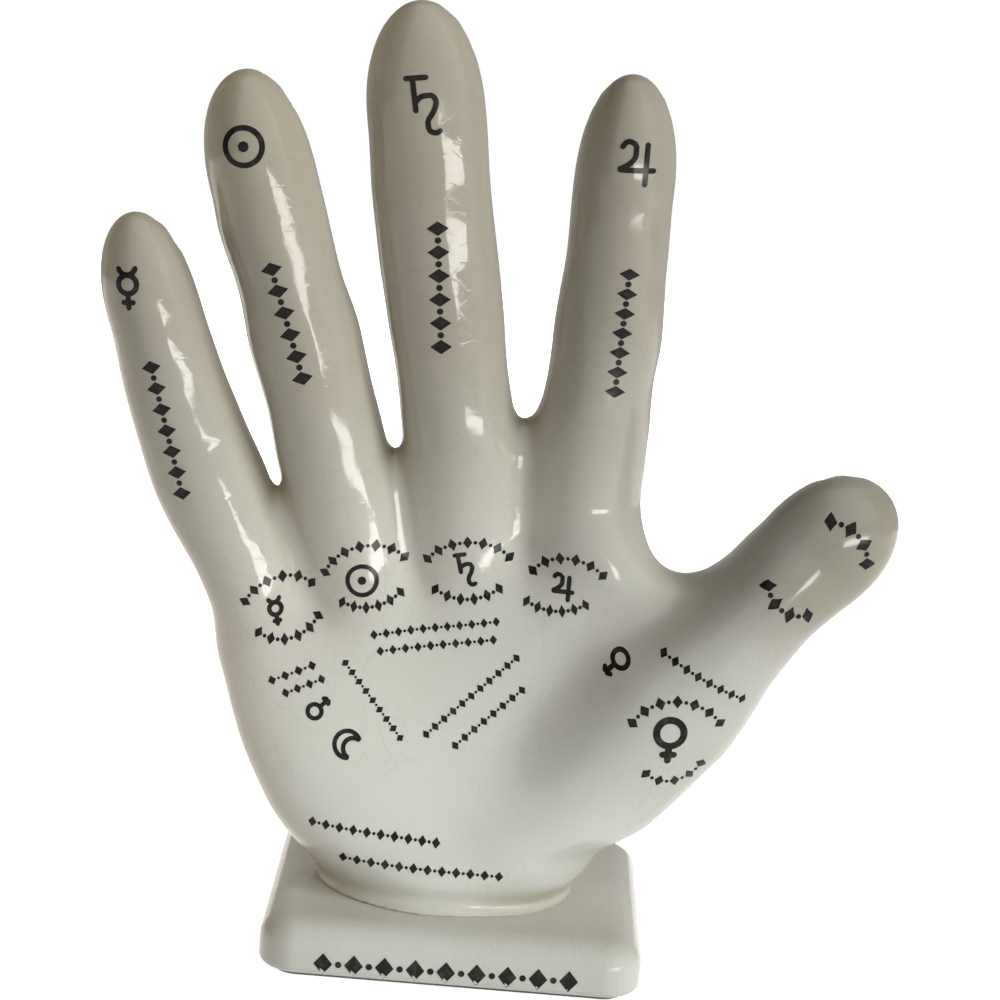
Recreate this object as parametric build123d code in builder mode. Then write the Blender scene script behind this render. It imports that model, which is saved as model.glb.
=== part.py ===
from build123d import *

import os
from dataclasses import dataclass, replace
from math import cos, pi, radians, sin

# A hollow earthenware hand, palm to the front, that stands on a low plinth.
# +Z is up, the palm faces -Y and the thumb points to +X.
# The origin is the middle of the baize under the plinth, on the table.
# All sizes are in millimetres and degrees.

# Wall that the slip leaves in the moulds, in the hand and in the plinth
HAND_WALL = 5.0
PLINTH_WALL = 5.0

# Plinth, with a rim round its open foot
PLINTH_WIDTH = 88.0
PLINTH_DEPTH = 78.0
PLINTH_HEIGHT = 12.0
PLINTH_CORNER = 9.0
PLINTH_TOP_ROUND = 4.5
PLINTH_FOOT_ROUND = 2.5
PLINTH_RIM = 8.0
DRAIN_RADIUS = 14.0

# Baize sheet glued to the foot rim
BAIZE_THICKNESS = 1.5
BAIZE_MARGIN = 3.5

# Bed of slip that lutes the wrist to the plinth, held back from the crease
SLIP_BED = 1.0
SLIP_SETBACK = 0.6

# Level of the cut wrist above the table
SEAT = BAIZE_THICKNESS + PLINTH_HEIGHT + SLIP_BED

# How full the palm's cross-section is: 2 is an ellipse, more is squarer
PALM_FULLNESS = 2.7
PALM_SECTION_POINTS = 12


@dataclass
class PalmSlice:
    """One cross-section of the palm. Its level is above the cut wrist, on the hand's middle line."""

    level: float
    tilt: float
    left: float
    right: float
    front: float
    back: float
    hollow: float


@dataclass
class Digit:
    """A finger or the thumb: a bowed tube with a blunt tip.

    Its buried end is sink below the root and sink_shift to the right of the digit's line."""

    root_x: float
    root_y: float
    root_level: float
    lean: float
    bow: float
    length: float
    sink: float
    sink_shift: float
    tip_length: float
    sink_width: float
    root_width: float
    joint_width: float
    pad_width: float
    sink_thickness: float
    root_thickness: float
    pad_thickness: float


@dataclass
class Web:
    """A saddle of clay between two digits: the lower part of a ring round the gap.

    The arc goes from its right-hand end, start below the level, round under the gap to the left."""

    x: float
    y: float
    level: float
    gap_radius: float
    thickness: float
    start: float
    arc: float


PALM = (
    PalmSlice(level=0.0, tilt=0.0, left=-31.0, right=29.0, front=-22.0, back=23.0, hollow=0.0),
    PalmSlice(level=5.5, tilt=0.0, left=-38.8, right=36.0, front=-26.5, back=26.0, hollow=0.0),
    PalmSlice(level=19.5, tilt=2.0, left=-47.0, right=40.5, front=-26.0, back=24.0, hollow=2.0),
    PalmSlice(level=40.5, tilt=6.0, left=-55.8, right=41.0, front=-20.5, back=20.0, hollow=4.0),
    PalmSlice(level=65.5, tilt=12.0, left=-61.2, right=40.0, front=-15.0, back=16.5, hollow=2.5),
    PalmSlice(level=84.5, tilt=17.0, left=-64.0, right=35.0, front=-11.5, back=12.5, hollow=0.0),
    PalmSlice(level=102.5, tilt=20.0, left=-50.0, right=32.0, front=-8.0, back=8.5, hollow=0.0),
)

LITTLE = Digit(
    root_x=-66.2, root_y=0.0, root_level=92.0, lean=-18.4, bow=5.0,
    length=64.4, sink=38.0, sink_shift=7.0, tip_length=17.0,
    sink_width=17.0, root_width=25.4, joint_width=23.2, pad_width=20.2,
    sink_thickness=20.0, root_thickness=23.0, pad_thickness=18.0,
)
RING = Digit(
    root_x=-37.5, root_y=0.0, root_level=103.0, lean=-17.3, bow=6.0,
    length=88.0, sink=40.0, sink_shift=0.0, tip_length=19.0,
    sink_width=20.0, root_width=26.2, joint_width=25.0, pad_width=24.4,
    sink_thickness=21.0, root_thickness=24.5, pad_thickness=20.5,
)
MIDDLE = Digit(
    root_x=-9.4, root_y=0.0, root_level=111.8, lean=-9.1, bow=6.0,
    length=95.0, sink=42.0, sink_shift=0.0, tip_length=20.0,
    sink_width=20.0, root_width=27.0, joint_width=26.8, pad_width=27.0,
    sink_thickness=21.0, root_thickness=25.0, pad_thickness=21.5,
)
INDEX = Digit(
    root_x=23.5, root_y=0.0, root_level=114.8, lean=1.5, bow=5.5,
    length=78.2, sink=42.0, sink_shift=0.0, tip_length=19.0,
    sink_width=20.0, root_width=24.4, joint_width=24.2, pad_width=22.6,
    sink_thickness=21.0, root_thickness=24.0, pad_thickness=20.0,
)
THUMB = Digit(
    root_x=44.0, root_y=-8.5, root_level=49.2, lean=40.0, bow=2.0,
    length=71.6, sink=44.0, sink_shift=0.0, tip_length=17.0,
    sink_width=22.0, root_width=39.8, joint_width=27.6, pad_width=29.2,
    sink_thickness=26.0, root_thickness=37.0, pad_thickness=24.0,
)
DIGITS = (LITTLE, RING, MIDDLE, INDEX, THUMB)

WEBS = (
    Web(x=-51.0, y=0.5, level=93.8, gap_radius=3.2, thickness=16.0, start=-23.0, arc=190.0),
    Web(x=-23.6, y=0.5, level=107.0, gap_radius=2.6, thickness=16.5, start=-18.0, arc=190.0),
    Web(x=7.4, y=0.5, level=117.2, gap_radius=5.0, thickness=17.0, start=-9.0, arc=190.0),
    Web(x=47.2, y=-4.0, level=91.4, gap_radius=12.8, thickness=16.0, start=22.0, arc=158.0),
)


def superellipse(turn, fullness):
    """The point of a unit superellipse at that turn, in radians."""
    across, up = cos(turn), sin(turn)
    power = 2 / fullness
    return abs(across) ** power * (1 if across > 0 else -1), abs(up) ** power * (1 if up > 0 else -1)


def palm_section(cut, inset=0.0):
    """The palm's closed outline at one slice, drawn in by inset, with its front hollowed."""
    middle_x = (cut.left + cut.right) / 2
    middle_y = (cut.front + cut.back) / 2
    half_width = (cut.right - cut.left) / 2 - inset
    half_depth = (cut.back - cut.front) / 2 - inset
    tilt = radians(cut.tilt)
    plane = Plane(
        origin=(0, 0, SEAT + cut.level), x_dir=(cos(tilt), 0, sin(tilt)), z_dir=(-sin(tilt), 0, cos(tilt))
    )
    points = []
    for step in range(PALM_SECTION_POINTS):
        across, out = superellipse(2 * pi * step / PALM_SECTION_POINTS, PALM_FULLNESS)
        dent = cut.hollow * (1 - across**2) ** 2 if out < 0 else 0
        points.append((middle_x + half_width * across, middle_y + half_depth * out + dent))
    with BuildSketch(plane) as section:
        with BuildLine():
            Spline(points, periodic=True)
        make_face()
    return section.sketch


def digit_plane(digit, along):
    """The plane square to the digit's bowed middle line, that far beyond its root."""
    lean = radians(digit.lean)
    axis = Vector(sin(lean), 0, cos(lean))
    root = Vector(digit.root_x, digit.root_y, SEAT + digit.root_level)
    reach = max(along, 0.0)
    shift = digit.sink_shift * max(-along, 0.0) / digit.sink
    side = Vector(cos(lean), 0, -sin(lean))
    bowed = digit.bow * reach**2 / digit.length**2
    slope = 2 * digit.bow * reach / digit.length**2
    return Plane(
        origin=root + axis * along + side * shift + Vector(0, -bowed, 0),
        x_dir=side,
        z_dir=axis + Vector(0, -slope, 0),
    )


def digit_sections(digit, inset=0.0):
    """Ellipses along the digit from its buried end to its pad, drawn in by inset."""
    pad = digit.length - digit.tip_length
    stations = (
        (-digit.sink, digit.sink_width, digit.sink_thickness),
        (0.0, digit.root_width, digit.root_thickness),
        (pad / 2, digit.joint_width, (digit.root_thickness + digit.pad_thickness) / 2),
        (pad, digit.pad_width, digit.pad_thickness),
    )
    sections = []
    for along, width, thickness in stations:
        with BuildSketch(digit_plane(digit, along)) as ring:
            Ellipse(width / 2 - inset, thickness / 2 - inset)
        sections.append(ring.sketch)
    return sections


def digit_tip(digit, inset=0.0):
    """The half ellipsoid that ends the digit beyond its pad, drawn in by inset."""
    with BuildPart() as dome:
        Sphere(1, arc_size1=0, align=(Align.CENTER, Align.CENTER, Align.MIN))
        scale(by=(digit.pad_width / 2 - inset, digit.pad_thickness / 2 - inset, digit.tip_length - inset))
    return digit_plane(digit, digit.length - digit.tip_length) * dome.part


def web_plane(web):
    """The plane of a web's ring, turned so that its arc starts at the right-hand end."""
    start = radians(web.start)
    middle = (web.x, web.y, SEAT + web.level)
    return Plane(origin=middle, x_dir=(cos(start), 0, -sin(start)), z_dir=(0, 1, 0))


def plinth_plan(level, inset=0.0):
    """The plinth's plan with round corners at that level, drawn in by inset."""
    with BuildSketch(Plane.XY.offset(level)) as plan:
        RectangleRounded(PLINTH_WIDTH, PLINTH_DEPTH, PLINTH_CORNER)
        if inset:
            offset(amount=-inset, mode=Mode.REPLACE)
    return plan.sketch


# The hand is one casting: palm, fingers, thumb and the webs between them, with one hollow inside.
hollow_palm = [palm_section(cut, HAND_WALL) for cut in PALM]
hollow_digits = [digit_sections(digit, HAND_WALL) for digit in DIGITS]
hollow_tips = [digit_tip(digit, HAND_WALL) for digit in DIGITS]
with BuildPart() as hollow:
    loft(hollow_palm)
    for sections, tip in zip(hollow_digits, hollow_tips):
        loft(sections)
        add(tip)

outer_palm = [palm_section(cut) for cut in PALM]
outer_digits = [digit_sections(digit) for digit in DIGITS]
outer_tips = [digit_tip(digit) for digit in DIGITS]
with BuildPart() as hand:
    loft(outer_palm)
    for sections, tip in zip(outer_digits, outer_tips):
        loft(sections)
        add(tip)
    for web in WEBS:
        with Locations(web_plane(web)):
            Torus(web.gap_radius + web.thickness / 2, web.thickness / 2, major_angle=web.arc, align=None)
    add(hollow.part, mode=Mode.SUBTRACT)
hand.part.label = "hand_casting"

# The plinth is a casting of its own, open below, with a drain hole up into the wrist.
foot_level = BAIZE_THICKNESS
ceiling_level = foot_level + PLINTH_HEIGHT - PLINTH_WALL
with BuildPart() as plinth:
    extrude(plinth_plan(foot_level), amount=PLINTH_HEIGHT)
    fillet(plinth.edges().group_by(Axis.Z)[-1], PLINTH_TOP_ROUND)
    fillet(plinth.edges().group_by(Axis.Z)[0], PLINTH_FOOT_ROUND)
    extrude(plinth_plan(foot_level, PLINTH_RIM), amount=PLINTH_HEIGHT - PLINTH_WALL, mode=Mode.SUBTRACT)
    with BuildSketch(Plane.XY.offset(ceiling_level)):
        Circle(DRAIN_RADIUS)
    extrude(amount=PLINTH_WALL, mode=Mode.SUBTRACT)
plinth.part.label = "plinth_casting"

# The bed of slip is a ring as wide as the wrist's wall, less the setback on both sides.
wrist = replace(PALM[0], level=PALM[0].level - SLIP_BED)
slip_outside = palm_section(wrist, SLIP_SETBACK)
slip_inside = palm_section(wrist, HAND_WALL - SLIP_SETBACK)
with BuildPart() as slip:
    extrude(slip_outside, amount=SLIP_BED)
    extrude(slip_inside, amount=SLIP_BED, mode=Mode.SUBTRACT)
slip.part.label = "slip_joint"

# The baize is one flat sheet, held back from the rounded foot.
with BuildPart() as baize:
    extrude(plinth_plan(0.0, BAIZE_MARGIN), amount=BAIZE_THICKNESS)
baize.part.label = "baize_pad"

os.makedirs("parts", exist_ok=True)
export_step(hand.part, "parts/hand_casting.step")
export_step(plinth.part, "parts/plinth_casting.step")
export_step(slip.part, "parts/slip_joint.step")
export_step(baize.part, "parts/baize_pad.step")
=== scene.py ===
import bpy
import numpy as np
import openvdb
from mathutils import Matrix, Vector


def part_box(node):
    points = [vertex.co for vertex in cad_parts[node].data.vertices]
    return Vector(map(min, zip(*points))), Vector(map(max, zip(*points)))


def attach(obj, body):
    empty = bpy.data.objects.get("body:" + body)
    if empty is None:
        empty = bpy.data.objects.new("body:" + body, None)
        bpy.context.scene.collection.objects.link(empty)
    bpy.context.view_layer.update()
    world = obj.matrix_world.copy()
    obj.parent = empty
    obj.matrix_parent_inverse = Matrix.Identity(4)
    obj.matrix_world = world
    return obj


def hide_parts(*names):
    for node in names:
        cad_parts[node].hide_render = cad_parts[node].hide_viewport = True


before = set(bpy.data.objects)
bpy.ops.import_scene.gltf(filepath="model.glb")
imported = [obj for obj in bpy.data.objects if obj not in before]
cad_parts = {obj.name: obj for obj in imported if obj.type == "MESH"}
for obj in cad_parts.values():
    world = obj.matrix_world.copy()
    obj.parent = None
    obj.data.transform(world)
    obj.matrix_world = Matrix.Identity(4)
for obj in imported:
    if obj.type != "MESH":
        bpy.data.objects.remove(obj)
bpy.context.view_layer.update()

# The camera stands where the photograph was taken from: square to the palm, a little above it,
# and turned slightly on its lens, so that the hand leans to the right in the picture.
CAMERA_TARGET = Vector((0.0029, 0.0, 0.1070))
CAMERA_DISTANCE = 0.620
CAMERA_ELEVATION = np.radians(13.0)
CAMERA_TURN = np.radians(4.7)
LENS_MM = 95.8

back = Vector((0.0, -np.cos(CAMERA_ELEVATION), np.sin(CAMERA_ELEVATION)))
level_right = Vector((1.0, 0.0, 0.0))
level_up = back.cross(level_right)
right = level_right * np.cos(CAMERA_TURN) + level_up * np.sin(CAMERA_TURN)
up = back.cross(right)
camera = bpy.data.objects.new("camera", bpy.data.cameras.new("camera"))
camera.data.lens = LENS_MM
camera.data.clip_start = 0.01
camera.matrix_world = Matrix.Translation(CAMERA_TARGET + back * CAMERA_DISTANCE) @ Matrix(
    (right, up, back)
).transposed().to_4x4()
bpy.context.scene.collection.objects.link(camera)
bpy.context.scene.camera = camera
bpy.context.scene.view_settings.view_transform = "Standard"

# The table is a sheet of white card, and the room behind it is white to the camera and to the glaze.
# The card adds white of its own only where it is seen, less near the foot, where the shadow lies. The
# room lights the clay with a faint warm fill that comes from overhead.
TABLE_HALF_MM = 3000.0
TABLE_COLOUR = (0.88, 0.88, 0.88, 1.0)
TABLE_NEAR_WHITE = 0.85
TABLE_FAR_WHITE = 1.0
SHADOW_NEAR = 0.12
SHADOW_FAR = 0.75
ROOM_WHITE = (1.0, 1.0, 1.0, 1.0)
ROOM_FILL = (1.0, 0.82, 0.60, 1.0)
ROOM_FILL_STRENGTH = 0.08
FILL_FROM_HEIGHT = 0.05
FILL_FULL_HEIGHT = 0.60


def mesh_piece(name, points_mm, faces, material):
    """A smooth mesh object at the origin: points in millimetres, faces as rows of point numbers."""
    mesh = bpy.data.meshes.new(name)
    mesh.from_pydata((np.asarray(points_mm) * 0.001).tolist(), [], [list(face) for face in faces])
    mesh.polygons.foreach_set("use_smooth", np.ones(len(mesh.polygons), bool))
    mesh.materials.append(material)
    piece = bpy.data.objects.new(name, mesh)
    bpy.context.scene.collection.objects.link(piece)
    return piece


def empty_nodes(owner):
    """The owner's node tree, emptied, as two calls: one adds a node with its values, one links sockets."""
    owner.use_nodes = True
    tree = owner.node_tree
    tree.nodes.clear()

    def add(kind, **values):
        node = tree.nodes.new("ShaderNode" + kind)
        for key, value in values.items():
            setattr(node, key, value)
        return node

    def link(source, target):
        tree.links.new(source, target)

    return add, link


def set_inputs(node, **values):
    """Puts constants on a node's sockets; an underscore in a key stands for a space in the name."""
    for key, value in values.items():
        node.inputs[key.replace("_", " ")].default_value = value
    return node


def seen_by_eye(add, link):
    """One where a ray comes from the camera, from a glossy surface or through glass, else nought."""
    path = add("LightPath")
    first = add("Math", operation="MAXIMUM")
    second = add("Math", operation="MAXIMUM")
    link(path.outputs["Is Camera Ray"], first.inputs[0])
    link(path.outputs["Is Glossy Ray"], first.inputs[1])
    link(first.outputs[0], second.inputs[0])
    link(path.outputs["Is Transmission Ray"], second.inputs[1])
    return second.outputs[0]


white_card = bpy.data.materials.new("white_card")
add, link = empty_nodes(white_card)
card = set_inputs(add("BsdfDiffuse"), Color=TABLE_COLOUR)
where = add("TexCoord")
distance = add("VectorMath", operation="LENGTH")
whiter = set_inputs(add("MapRange", interpolation_type="SMOOTHSTEP"), From_Min=SHADOW_NEAR,
                    From_Max=SHADOW_FAR, To_Min=TABLE_NEAR_WHITE, To_Max=TABLE_FAR_WHITE)
own_white = add("Math", operation="MULTIPLY")
glow = add("Emission")
both = add("AddShader")
surface = add("OutputMaterial")
link(where.outputs["Object"], distance.inputs[0])
link(distance.outputs["Value"], whiter.inputs["Value"])
link(whiter.outputs["Result"], own_white.inputs[0])
link(seen_by_eye(add, link), own_white.inputs[1])
link(own_white.outputs[0], glow.inputs["Strength"])
link(card.outputs[0], both.inputs[0])
link(glow.outputs[0], both.inputs[1])
link(both.outputs[0], surface.inputs["Surface"])
table_corners = np.array([(-1, -1, 0), (1, -1, 0), (1, 1, 0), (-1, 1, 0)]) * TABLE_HALF_MM
table = mesh_piece("table", table_corners, [(0, 1, 2, 3)], white_card)

room = bpy.data.worlds.new("room")
bpy.context.scene.world = room
add, link = empty_nodes(room)
fill = set_inputs(add("Background"), Color=ROOM_FILL)
where = add("TexCoord")
upward = add("SeparateXYZ")
overhead = set_inputs(add("MapRange", interpolation_type="SMOOTHSTEP"), From_Min=FILL_FROM_HEIGHT,
                      From_Max=FILL_FULL_HEIGHT, To_Max=ROOM_FILL_STRENGTH)
link(where.outputs["Generated"], upward.inputs[0])
link(upward.outputs["Z"], overhead.inputs["Value"])
link(overhead.outputs["Result"], fill.inputs["Strength"])
white = set_inputs(add("Background"), Color=ROOM_WHITE)
choice = add("MixShader")
sky = add("OutputWorld")
link(seen_by_eye(add, link), choice.inputs["Fac"])
link(fill.outputs[0], choice.inputs[1])
link(white.outputs[0], choice.inputs[2])
link(choice.outputs[0], sky.inputs["Surface"])

# The light: soft screens high on the right, low on the left and behind, and four soft spots. Windows
# in front, behind and at the left only gleam down the fingers. Flags outside the picture, grey above
# and paler below, keep the white room out of the glaze at the edges.
# Each lamp: place, aim, width, height, watts, colour, whether it lights the clay and whether the glaze
# mirrors it. Daylight comes from the right, and warmer light from the left and from behind.
DAYLIGHT = (1.0, 0.98, 0.92)
WARM_LIGHT = (1.0, 0.86, 0.55)
SOFT_LIGHT = (1.0, 0.95, 0.86)
LAMPS = {
    "window": ((0.49, -0.67, 0.055), (0.0, 0.0, 0.055), 0.52, 0.11, 1.8, DAYLIGHT, False, True),
    "back_window": ((-0.02, 0.42, 0.030), (0.0, 0.0, 0.055), 0.10, 0.05, 0.15, DAYLIGHT, False, True),
    "right_screen": ((1.12, -0.65, 0.84), (0.0, 0.0, 0.09), 0.55, 0.55, 10.6, DAYLIGHT, True, False),
    "left_screen": ((-0.89, 0.32, 0.19), (0.0, 0.0, 0.09), 0.35, 0.16, 1.7, WARM_LIGHT, True, False),
    "side_window": ((-0.70, 0.35, 0.30), (0.0, 0.0, 0.12), 0.15, 0.60, 0.4, DAYLIGHT, False, True),
    "back_screen": ((0.0, 1.0, 0.30), (0.0, 0.0, 0.11), 0.80, 0.70, 4.5, SOFT_LIGHT, True, False),
}
# Each spot: place, aim, watts, the width of its cone in degrees and its colour.
SPOTS = {
    "palm_spot": ((0.60, -0.63, 0.19), (-0.012, -0.02, 0.040), 16.0, 12.3, (0.86, 0.95, 0.97)),
    "heel_spot": ((-0.535, -0.734, 0.172), (-0.038, -0.02, 0.054), 8.8, 10.0, (1.0, 0.97, 0.90)),
    "finger_spot": ((0.05, -0.50, 0.85), (-0.054, 0.0, 0.176), 5.9, 13.0, (1.0, 0.89, 0.69)),
    "plinth_spot": ((0.55, -0.55, 0.10), (0.026, -0.039, 0.008), 9.0, 6.0, (0.84, 0.94, 1.0)),
}
SPOT_SOFTNESS = 0.05
# Each flag: the two ends of an upright sheet, as x and y in millimetres.
FLAGS = {
    "flag_behind": ((-650.0, 450.0), (800.0, 450.0)),
    "flag_left": ((-650.0, 450.0), (-650.0, -900.0)),
    "flag_right": ((800.0, 450.0), (800.0, -250.0)),
}
FLAG_FOOT = 2.0
FLAG_TOP = 1800.0
FLAG_GREY = 0.10
FLAG_PALE = 0.45
FLAG_GREY_FROM = 0.70

for name, (place, aim, width, height, watts, colour, lighting, mirrored) in LAMPS.items():
    lamp = bpy.data.lights.new(name, "AREA")
    lamp.shape = "RECTANGLE"
    lamp.size = width
    lamp.size_y = height
    lamp.energy = watts
    lamp.color = colour
    holder = bpy.data.objects.new(name, lamp)
    holder.rotation_euler = (Vector(aim) - Vector(place)).to_track_quat("-Z", "Y").to_euler()
    holder.location = place
    holder.visible_camera = False
    holder.visible_diffuse = lighting
    holder.visible_glossy = mirrored
    bpy.context.scene.collection.objects.link(holder)

for name, (place, aim, watts, cone, colour) in SPOTS.items():
    spot = bpy.data.lights.new(name, "SPOT")
    spot.energy = watts
    spot.color = colour
    spot.spot_size = np.radians(cone)
    spot.spot_blend = 1.0
    spot.shadow_soft_size = SPOT_SOFTNESS
    holder = bpy.data.objects.new(name, spot)
    holder.rotation_euler = (Vector(aim) - Vector(place)).to_track_quat("-Z", "Y").to_euler()
    holder.location = place
    holder.visible_camera = False
    holder.visible_glossy = False
    bpy.context.scene.collection.objects.link(holder)

flag_cloth = bpy.data.materials.new("flag_cloth")
add, link = empty_nodes(flag_cloth)
where = add("TexCoord")
height = add("SeparateXYZ")
darker = set_inputs(add("MapRange", interpolation_type="SMOOTHSTEP"), From_Min=0.0,
                    From_Max=FLAG_GREY_FROM, To_Min=FLAG_PALE, To_Max=FLAG_GREY)
shade = add("Emission")
surface = add("OutputMaterial")
link(where.outputs["Object"], height.inputs[0])
link(height.outputs["Z"], darker.inputs["Value"])
link(darker.outputs["Result"], shade.inputs["Strength"])
link(shade.outputs[0], surface.inputs["Surface"])
for name, (start, end) in FLAGS.items():
    corners = [(*start, FLAG_FOOT), (*end, FLAG_FOOT), (*end, FLAG_TOP), (*start, FLAG_TOP)]
    flag = mesh_piece(name, corners, [(0, 1, 2, 3)], flag_cloth)
    flag.visible_camera = False
    flag.visible_shadow = False
    flag.visible_diffuse = False

# The baize is a sheet of grey-green wool felt, cut a little inside the plinth's outline and glued under
# the foot rim. Its cut edge is soft, and its fibres lie every way.
BAIZE_LOW, BAIZE_HIGH = (np.array(corner) * 1000.0 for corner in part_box("baize_pad"))
BAIZE_CORNER = 5.5
BAIZE_EDGE = 0.5
BAIZE_MIDDLE_INSET = 28.0
BAIZE_DARK = (0.080, 0.100, 0.080, 1.0)
BAIZE_LIGHT = (0.160, 0.190, 0.155, 1.0)
ARC_POINTS = 20
SIDE_POINTS = 7
AROUND = 4 * (ARC_POINTS + SIDE_POINTS)
LEAST_CORNER = 1.0


def rounded_plan(half_width, half_depth, corner):
    """Points round a rectangle: a quarter circle at each corner, then even steps along the next side."""
    turn = np.linspace(0.0, np.pi / 2, ARC_POINTS)[None, :] + np.arange(4)[:, None] * np.pi / 2
    sign = np.array([(1, 1), (-1, 1), (-1, -1), (1, -1)])
    middle = sign * np.array([half_width - corner, half_depth - corner])
    arcs = middle[:, None, :] + corner * np.stack([np.cos(turn), np.sin(turn)], axis=-1)
    share = np.linspace(0.0, 1.0, SIDE_POINTS + 2)[1:-1, None]
    leave = arcs[:, -1:, :]
    arrive = np.roll(arcs[:, 0, :], -1, axis=0)[:, None, :]
    sides = leave + (arrive - leave) * share
    return np.concatenate([arcs, sides], axis=1).reshape(-1, 2)


def plan_rings(half_width, half_depth, corner, inset, level):
    """The rounded plan drawn in by each inset and lifted to its level, with the corner drawn in as well."""
    return [
        np.column_stack([
            rounded_plan(half_width - i, half_depth - i, max(corner - i, LEAST_CORNER)),
            np.full(AROUND, z),
        ])
        for i, z in zip(inset, level)
    ]


def ring_faces(rings, around, closed=False):
    """Quads between each ring of points and the next; closed joins the last ring to the first."""
    ring = np.arange(rings if closed else rings - 1)[:, None]
    step = np.arange(around)[None, :]
    above = (ring + 1) % rings
    beside = (step + 1) % around
    corners = (ring * around + step, ring * around + beside, above * around + beside, above * around + step)
    return np.stack(corners, axis=-1).reshape(-1, 4)


felt = bpy.data.materials.new("felted_baize")
add, link = empty_nodes(felt)
where = add("TexCoord")
fibres = set_inputs(add("TexNoise"), Scale=900.0, Detail=5.0, Roughness=0.7)
shade = add("ValToRGB")
shade.color_ramp.elements[0].position = 0.35
shade.color_ramp.elements[0].color = BAIZE_DARK
shade.color_ramp.elements[1].position = 0.68
shade.color_ramp.elements[1].color = BAIZE_LIGHT
nap = set_inputs(add("Bump"), Strength=0.6, Distance=0.0004)
wool = set_inputs(add("BsdfPrincipled"), Roughness=0.95, Sheen_Weight=0.4, Sheen_Roughness=0.5)
surface = add("OutputMaterial")
link(where.outputs["Object"], fibres.inputs["Vector"])
link(fibres.outputs["Fac"], shade.inputs["Fac"])
link(shade.outputs["Color"], wool.inputs["Base Color"])
link(fibres.outputs["Fac"], nap.inputs["Height"])
link(nap.outputs["Normal"], wool.inputs["Normal"])
link(wool.outputs[0], surface.inputs["Surface"])

half = (BAIZE_HIGH - BAIZE_LOW) / 2
turn = np.linspace(-np.pi / 2, np.pi / 2, 8)
inset = np.concatenate([[BAIZE_MIDDLE_INSET], BAIZE_EDGE * (1 - np.cos(turn)), [BAIZE_MIDDLE_INSET]])
level = np.concatenate([[-1.0], np.sin(turn), [1.0]]) * half[2] + half[2] + BAIZE_LOW[2]
rings = plan_rings(half[0], half[1], BAIZE_CORNER, inset, level)
last = (len(rings) - 1) * AROUND
faces = ring_faces(len(rings), AROUND).tolist() + [range(AROUND - 1, -1, -1), range(last, last + AROUND)]
baize = mesh_piece("baize_sheet", np.concatenate(rings), faces, felt)
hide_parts("baize_pad")
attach(baize, "root")

# The plinth is a low slip-cast block, open below, with a foot rim, soft edges and a drain hole up
# into the wrist. The whole piece wears one ivory glaze, which is crazed all over with fine cracks.
PLINTH_LOW, PLINTH_HIGH = (np.array(corner) * 1000.0 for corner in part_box("plinth_casting"))
# Its front and back stand a tenth of a millimetre in, so that the print stays inside the part's box.
PRINT_ROOM = 0.1
PLINTH_LOW[1] += PRINT_ROOM
PLINTH_HIGH[1] -= PRINT_ROOM
PLINTH_CORNER = 9.0
PLINTH_TOP_DROP = 5.5
PLINTH_TOP_INSET = 7.0
PLINTH_FOOT_ROUND = 1.8
PLINTH_RIM = 8.0
PLINTH_CEILING = 5.0
DRAIN_RADIUS = 14.0
PLINTH_SLACK = 0.05
PLINTH_SLACK_FROM = 6.0
GLAZE_PALE = (0.655, 0.652, 0.615, 1.0)
GLAZE_WARM = (0.578, 0.550, 0.460, 1.0)
GLAZE_POOLED_AND_SHADED = (0.430, 0.400, 0.310, 1.0)
CRACK_STAIN = (0.300, 0.270, 0.205, 1.0)

glaze = bpy.data.materials.new("crackle_glaze")
add, link = empty_nodes(glaze)
where = add("TexCoord")
# Cracks round cells of two sizes, bent a little by slow noise.
wander = set_inputs(add("TexNoise"), Scale=70.0, Detail=2.0)
sway = add("VectorMath", operation="MULTIPLY_ADD")
sway.inputs[1].default_value = (0.006, 0.006, 0.006)
link(where.outputs["Object"], wander.inputs["Vector"])
link(wander.outputs["Color"], sway.inputs[0])
link(where.outputs["Object"], sway.inputs[2])
wide_cells = set_inputs(add("TexVoronoi", feature="DISTANCE_TO_EDGE"), Scale=165.0)
fine_cells = set_inputs(add("TexVoronoi", feature="DISTANCE_TO_EDGE"), Scale=360.0)
wide_cracks = set_inputs(add("MapRange", interpolation_type="SMOOTHSTEP"),
                         From_Min=0.0, From_Max=0.035, To_Min=1.0, To_Max=0.0)
fine_cracks = set_inputs(add("MapRange", interpolation_type="SMOOTHSTEP"),
                         From_Min=0.0, From_Max=0.05, To_Min=0.5, To_Max=0.0)
cracks = add("Math", operation="MAXIMUM")
link(sway.outputs[0], wide_cells.inputs["Vector"])
link(sway.outputs[0], fine_cells.inputs["Vector"])
link(wide_cells.outputs["Distance"], wide_cracks.inputs["Value"])
link(fine_cells.outputs["Distance"], fine_cracks.inputs["Value"])
link(wide_cracks.outputs["Result"], cracks.inputs[0])
link(fine_cracks.outputs["Result"], cracks.inputs[1])
# Stain has crept into the cracks, more in some patches than in others.
stain_patches = set_inputs(add("TexNoise"), Scale=38.0, Detail=3.0)
stain = set_inputs(add("MapRange"), From_Min=0.38, From_Max=0.70, To_Min=0.02, To_Max=0.15)
stained = add("Math", operation="MULTIPLY")
link(where.outputs["Object"], stain_patches.inputs["Vector"])
link(stain_patches.outputs["Fac"], stain.inputs["Value"])
link(stain.outputs["Result"], stained.inputs[0])
link(cracks.outputs[0], stained.inputs[1])
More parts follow.
